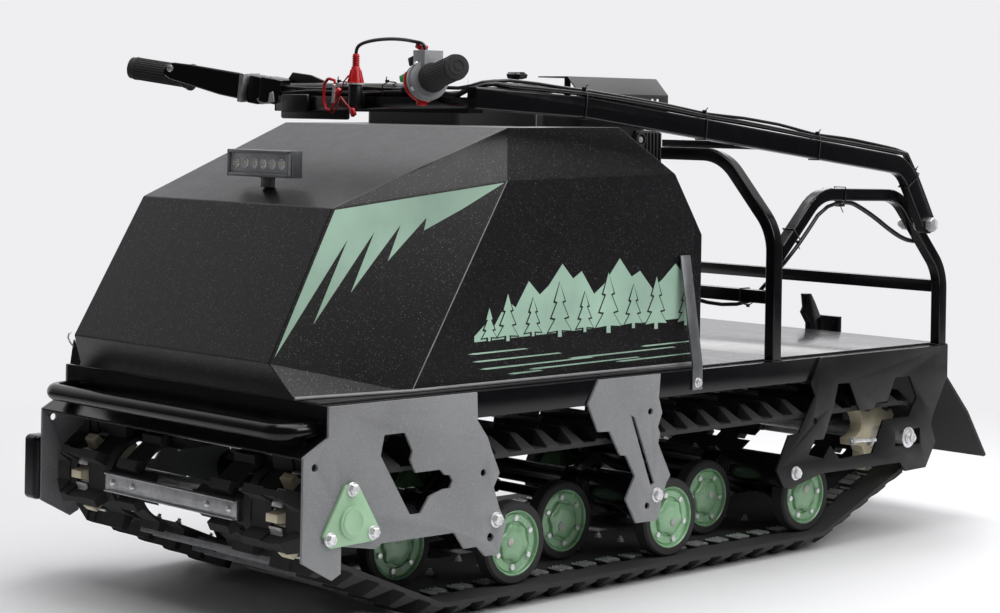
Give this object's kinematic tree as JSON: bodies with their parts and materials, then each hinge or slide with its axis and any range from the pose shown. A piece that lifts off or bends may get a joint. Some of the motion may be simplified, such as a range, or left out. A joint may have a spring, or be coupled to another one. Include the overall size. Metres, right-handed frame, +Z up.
{
  "type": "tracked snow towing vehicle",
  "caption": "Compact rubber-tracked walk-behind snow tug with a faceted engine hood, a rear load deck with side arches and a one-armed control handle that folds forward.",
  "frame": {"origin": "on the ground under the middle of the vehicle's box", "axes": "+Z up, front of the vehicle towards -Y, its left side towards +X"},
  "size_m": [0.7522, 1.564, 0.7952],
  "materials": {
    "plate_paint": "satin powder coat",
    "frame_paint": "fine textured black powder coat",
    "flap_rubber": "matt rubber sheet",
    "track_rubber": "moulded rubber",
    "tyre_rubber": "moulded rubber",
    "bright_steel": "zinc plated",
    "sprocket_plastic": "cast polyurethane",
    "green_paint": "satin powder coat",
    "engine_metal": "cast",
    "engine_black": "gloss black",
    "muffler_black": "heat resistant matt black",
    "hood_paint": "sparkling textured black powder coat",
    "lamp_metal": "black anodised with a clear lens",
    "strap_steel": "zinc plated",
    "bar_paint": "gloss black",
    "grip_rubber": "soft rubber",
    "dull_steel": "galvanised, worn by snow",
    "spring_steel": "gloss black",
    "red_plastic": "moulded",
    "cable_rubber": "smooth sheath",
    "control_plastic": "moulded"
  },
  "bodies": {
    "chassis": {"air_filter": "engine_black", "bearing_cover": "green_paint", "bogie_front": "frame_paint", "bogie_middle": "frame_paint", "bogie_rear": "frame_paint", "bogie_springs": "spring_steel", "cable_clips": "control_plastic", "chain_case": "frame_paint", "drive_axle": "bright_steel", "engine_block": "engine_metal", "engine_deck": "frame_paint", "front_bumper": "frame_paint", "front_panel": "frame_paint", "front_plates": "plate_paint", "fuel_tank": "engine_black", "hinge_bolt": "bright_steel", "hood": "hood_paint", "hood_straps": "strap_steel", "lamp": "lamp_metal", "middle_brackets": "plate_paint", "middle_hoop": "frame_paint", "mud_flap": "flap_rubber", "muffler": "muffler_black", "muffler_shield": "muffler_black", "rack_bars": "frame_paint", "rear_axle": "bright_steel", "rear_deck": "frame_paint", "rear_plates": "plate_paint", "side_arches": "frame_paint", "side_rails": "frame_paint", "sprockets": "sprocket_plastic", "throttle_cable": "cable_rubber", "tow_hitch": "frame_paint", "track": "track_rubber", "track_bars": "dull_steel", "tyres": "tyre_rubber", "wheel_discs": "green_paint"},
    "handle": {"handle_frame": "frame_paint", "handlebar": "bar_paint", "grips": "grip_rubber", "throttle": "control_plastic", "side_lever": "bar_paint", "stop_switch": "control_plastic", "stop_cap": "red_plastic", "stop_cord": "cable_rubber"}
  },
  "joints": [
    {"name": "handle_fold", "type": "hinge", "parent": "chassis", "child": "handle", "pos_m": [0.316, 0.547, 0.5185], "axis": [-1, 0, 0], "range_deg": [0, 150]}
  ]
}
